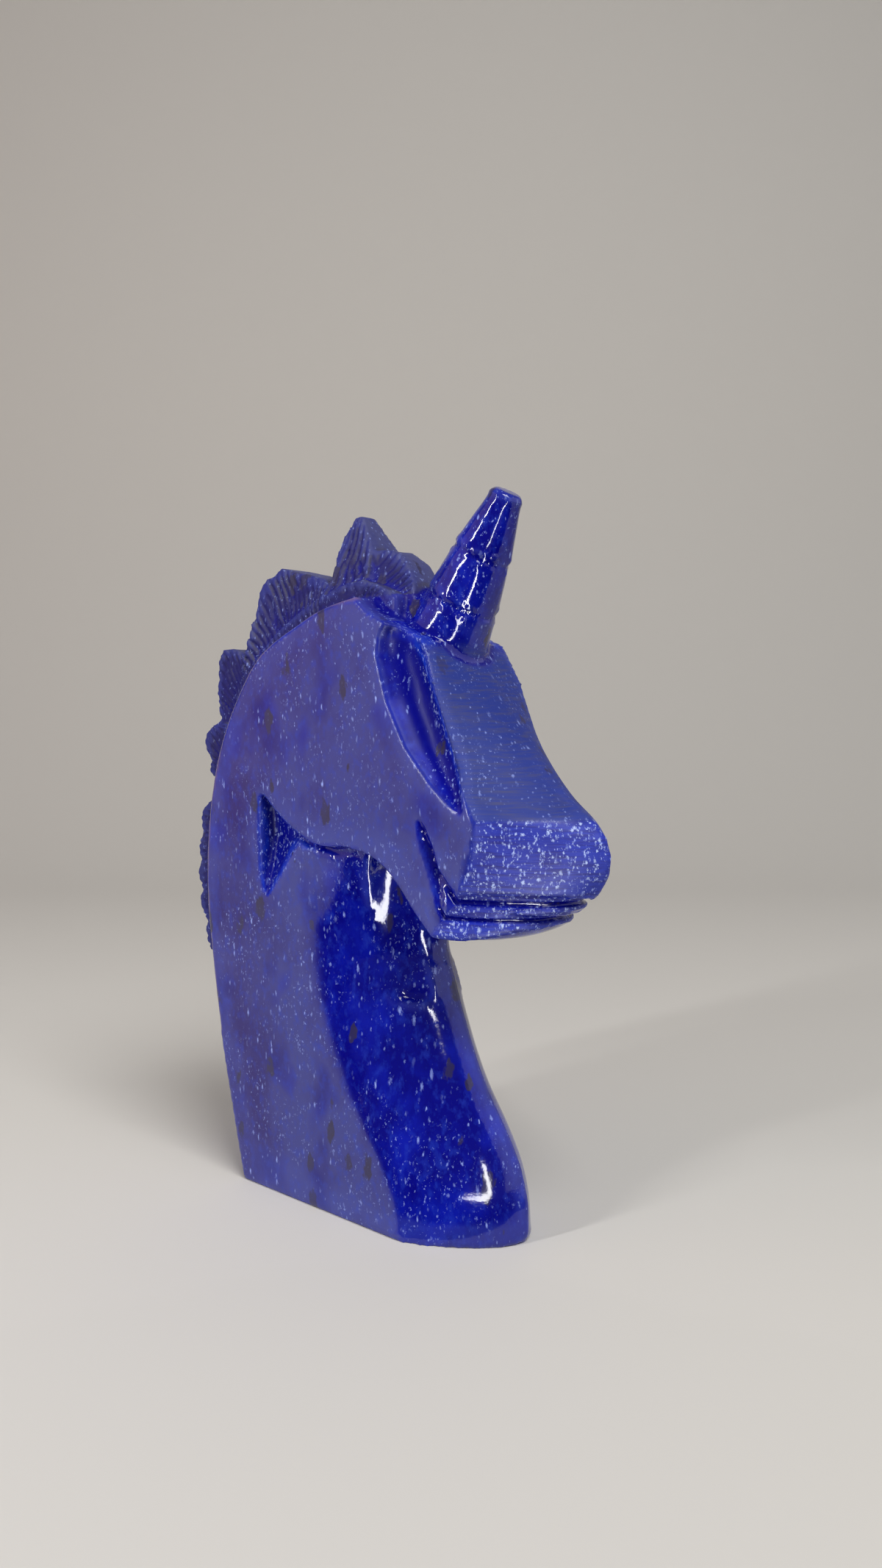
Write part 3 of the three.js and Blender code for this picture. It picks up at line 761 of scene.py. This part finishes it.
# The soft lights. The bearing is in degrees round from the camera's own, positive to its
# left, the height is above the middle of the carving, and only the polish shows a light
# that is for gloss
PANELS = [
    {
        "name": "side_panel", "bearing": 80, "height": 0.425, "distance": 0.95,
        "size": (0.9, 1.0), "power": 1.7, "tint": "#FFDCD2", "upright": True,
    },
    {
        "name": "front_panel", "bearing": -75, "height": 0.425, "distance": 0.95,
        "size": (1.9, 1.0), "power": 5.6, "tint": "#E4E2FF", "upright": True, "gloss": True,
    },
    {
        "name": "key_panel", "bearing": -28, "height": 0.8, "distance": 0.6,
        "size": (0.5, 0.5), "power": 7.5,
    },
    {
        "name": "left_strip", "bearing": 56, "height": 0.2, "distance": 0.55,
        "size": (0.03, 0.3), "power": 1.4,
    },
    {
        "name": "right_strip", "bearing": -12, "height": -0.005, "distance": 0.45,
        "size": (0.03, 0.13), "power": 0.3, "upright": True, "gloss": True,
    },
]
FLOOR_LAMP_PLACE = (0.276, -0.221, 0.004)
FLOOR_LAMP_TURN = math.radians(52)
FLOOR_LAMP_SIZE = (0.028, 0.54)
FLOOR_LAMP_POWER = 1.1
FLAG_FOOT = Vector((0.018, -0.018, 0.0005))
FLAG_RADIUS = 0.9
FLAG_ANGLES = (-116, 16)  # where the fan starts and ends, in degrees from the way the face looks
FLAG_STEPS = 24


def plain_material(name, colour, roughness):
    """Matt paper or cloth."""
    material = bpy.data.materials.new(name)
    material.use_nodes = True
    shader = material.node_tree.nodes["Principled BSDF"]
    shader.inputs["Base Color"].default_value = linear(colour)
    shader.inputs["Roughness"].default_value = roughness
    return material


def add_backdrop():
    """Pale paper that lies as the floor and sweeps up behind the carving."""
    near, far, high, bend, half_width = -1.2, 0.75, 1.6, 0.35, 1.5
    bm = bmesh.new()
    profile = [Vector((0, near, 0)), Vector((0, far - bend, 0))]
    steps = 16
    for i in range(1, steps + 1):
        angle = math.pi / 2 * i / steps
        profile.append(Vector((0, far - bend + bend * math.sin(angle), bend - bend * math.cos(angle))))
    profile.append(Vector((0, far, high)))
    line = [bm.verts.new(point) for point in profile]
    edges = [bm.edges.new(pair) for pair in zip(line, line[1:])]
    bmesh.ops.translate(bm, verts=bm.verts, vec=(-half_width, 0, 0))
    bmesh.ops.extrude_edge_only(bm, edges=edges)
    fresh = bm.verts[len(profile) :]
    bmesh.ops.translate(bm, verts=fresh, vec=(2 * half_width, 0, 0))
    bmesh.ops.rotate(bm, verts=bm.verts, matrix=Matrix.Rotation(CAMERA_TURN, 3, "Z"))
    mesh = bpy.data.meshes.new("paper_sweep")
    bm.to_mesh(mesh)
    bm.free()
    mesh.shade_smooth()
    sweep = bpy.data.objects.new("paper_sweep", mesh)
    bpy.context.collection.objects.link(sweep)
    mesh.materials.append(plain_material("pale_paper", settings().colours.floor, 0.9))


def add_light(name, size, power, tint="#FFFFFF"):
    """A soft rectangular light, which the caller places."""
    light = bpy.data.lights.new(name, "AREA")
    light.shape = "RECTANGLE"
    light.size, light.size_y = size
    light.energy = power
    light.color = linear(tint)[:3]
    lamp = bpy.data.objects.new(name, light)
    bpy.context.collection.objects.link(lamp)
    return lamp


def add_panel(name, bearing, height, distance, size, power, tint="#FFFFFF", upright=False, gloss=False):
    """A soft light that is aimed at the carving, or stands upright and faces it."""
    lamp = add_light(name, size, power, tint)
    angle = CAMERA_TURN - math.pi / 2 - math.radians(bearing)
    lamp.location = LIGHT_TARGET + Vector((math.cos(angle), math.sin(angle), 0)) * distance
    lamp.location.z += height
    aim = LIGHT_TARGET - lamp.location
    if upright:
        aim.z = 0
    lamp.rotation_euler = aim.to_track_quat("-Z", "Y").to_euler()
    lamp.visible_diffuse = not gloss


def add_floor_lamp():
    """A narrow lamp that lies on the floor under the camera and shines up. Only the polish
    shows it, as the white lines down the horn and the throat."""
    lamp = add_light("floor_lamp", FLOOR_LAMP_SIZE, FLOOR_LAMP_POWER)
    lamp.location = FLOOR_LAMP_PLACE
    lamp.rotation_euler = (math.pi, 0, FLOOR_LAMP_TURN)
    lamp.visible_camera = False
    lamp.visible_diffuse = False


def add_flag():
    """Black cloth on the floor in front, which only the polish reflects. It keeps the
    pale floor out of the faces that turn towards the camera. It is a fan from the
    foot of the neck, between the ways that the flat side and the front face look."""
    bm = bmesh.new()
    corners = [bm.verts.new(FLAG_FOOT)]
    for angle in np.radians(np.linspace(*FLAG_ANGLES, FLAG_STEPS + 1)):
        out = Vector((math.cos(angle), math.sin(angle), 0))
        corners.append(bm.verts.new(FLAG_FOOT + FLAG_RADIUS * out))
    bm.faces.new(corners)
    mesh = bpy.data.meshes.new("black_flag")
    bm.to_mesh(mesh)
    bm.free()
    mesh.materials.append(plain_material("black_cloth", "#050505", 1.0))
    flag = bpy.data.objects.new("black_flag", mesh)
    bpy.context.collection.objects.link(flag)
    flag.visible_camera = False
    flag.visible_diffuse = False
    flag.visible_shadow = False


def add_air():
    """Faint even light from all round."""
    world = bpy.data.worlds.new("studio_air")
    world.use_nodes = True
    world.node_tree.nodes["Background"].inputs["Color"].default_value = linear("#FFFFFF")
    world.node_tree.nodes["Background"].inputs["Strength"].default_value = AIR_STRENGTH
    bpy.context.scene.world = world


def add_camera():
    """The camera, with the lens and the place of the photograph's."""
    camera = bpy.data.cameras.new("camera")
    camera.sensor_width = SENSOR
    camera.lens = SENSOR * FOCAL_PIXELS / IMAGE_HEIGHT
    camera.clip_start = 0.01
    eye = bpy.data.objects.new("camera", camera)
    eye.location = CAMERA_PLACE
    eye.rotation_euler = Euler((math.pi / 2 - CAMERA_DIP, 0, CAMERA_TURN))
    bpy.context.collection.objects.link(eye)
    bpy.context.scene.camera = eye


class CARVING_OT_studio(bpy.types.Operator):
    """Make the paper sweep, the lights and the camera"""

    bl_idname = "carving.studio"
    bl_label = "Studio"

    def execute(self, context):
        add_backdrop()
        for panel in PANELS:
            add_panel(**panel)
        add_floor_lamp()
        add_flag()
        add_air()
        context.scene.view_settings.view_transform = "Standard"
        add_camera()
        return {"FINISHED"}


class CARVING_PT_panel(bpy.types.Panel):
    """Lists the steps and the settings"""

    bl_idname = "CARVING_PT_panel"
    bl_label = "Unicorn Head Carving"
    bl_space_type = "VIEW_3D"
    bl_region_type = "UI"
    bl_category = "Carving"

    def draw(self, context):
        for operator in OPERATORS:
            self.layout.operator(operator.bl_idname)
        for group in (settings().sizes, settings().colours):
            for name in type(group).__annotations__:
                self.layout.prop(group, name)


OPERATORS = (CARVING_OT_stone, CARVING_OT_studio)
GROUPS = (CarvingSizes, CarvingColours, CarvingSettings)
CLASSES = GROUPS + OPERATORS + (CARVING_PT_panel,)


def register():
    for item in CLASSES:
        bpy.utils.register_class(item)
    bpy.types.Scene.carving = PointerProperty(type=CarvingSettings)


def unregister():
    del bpy.types.Scene.carving
    for item in reversed(CLASSES):
        bpy.utils.unregister_class(item)


def main():
    register()
    bpy.ops.carving.stone()
    bpy.ops.carving.studio()


if __name__ == "__main__":
    main()
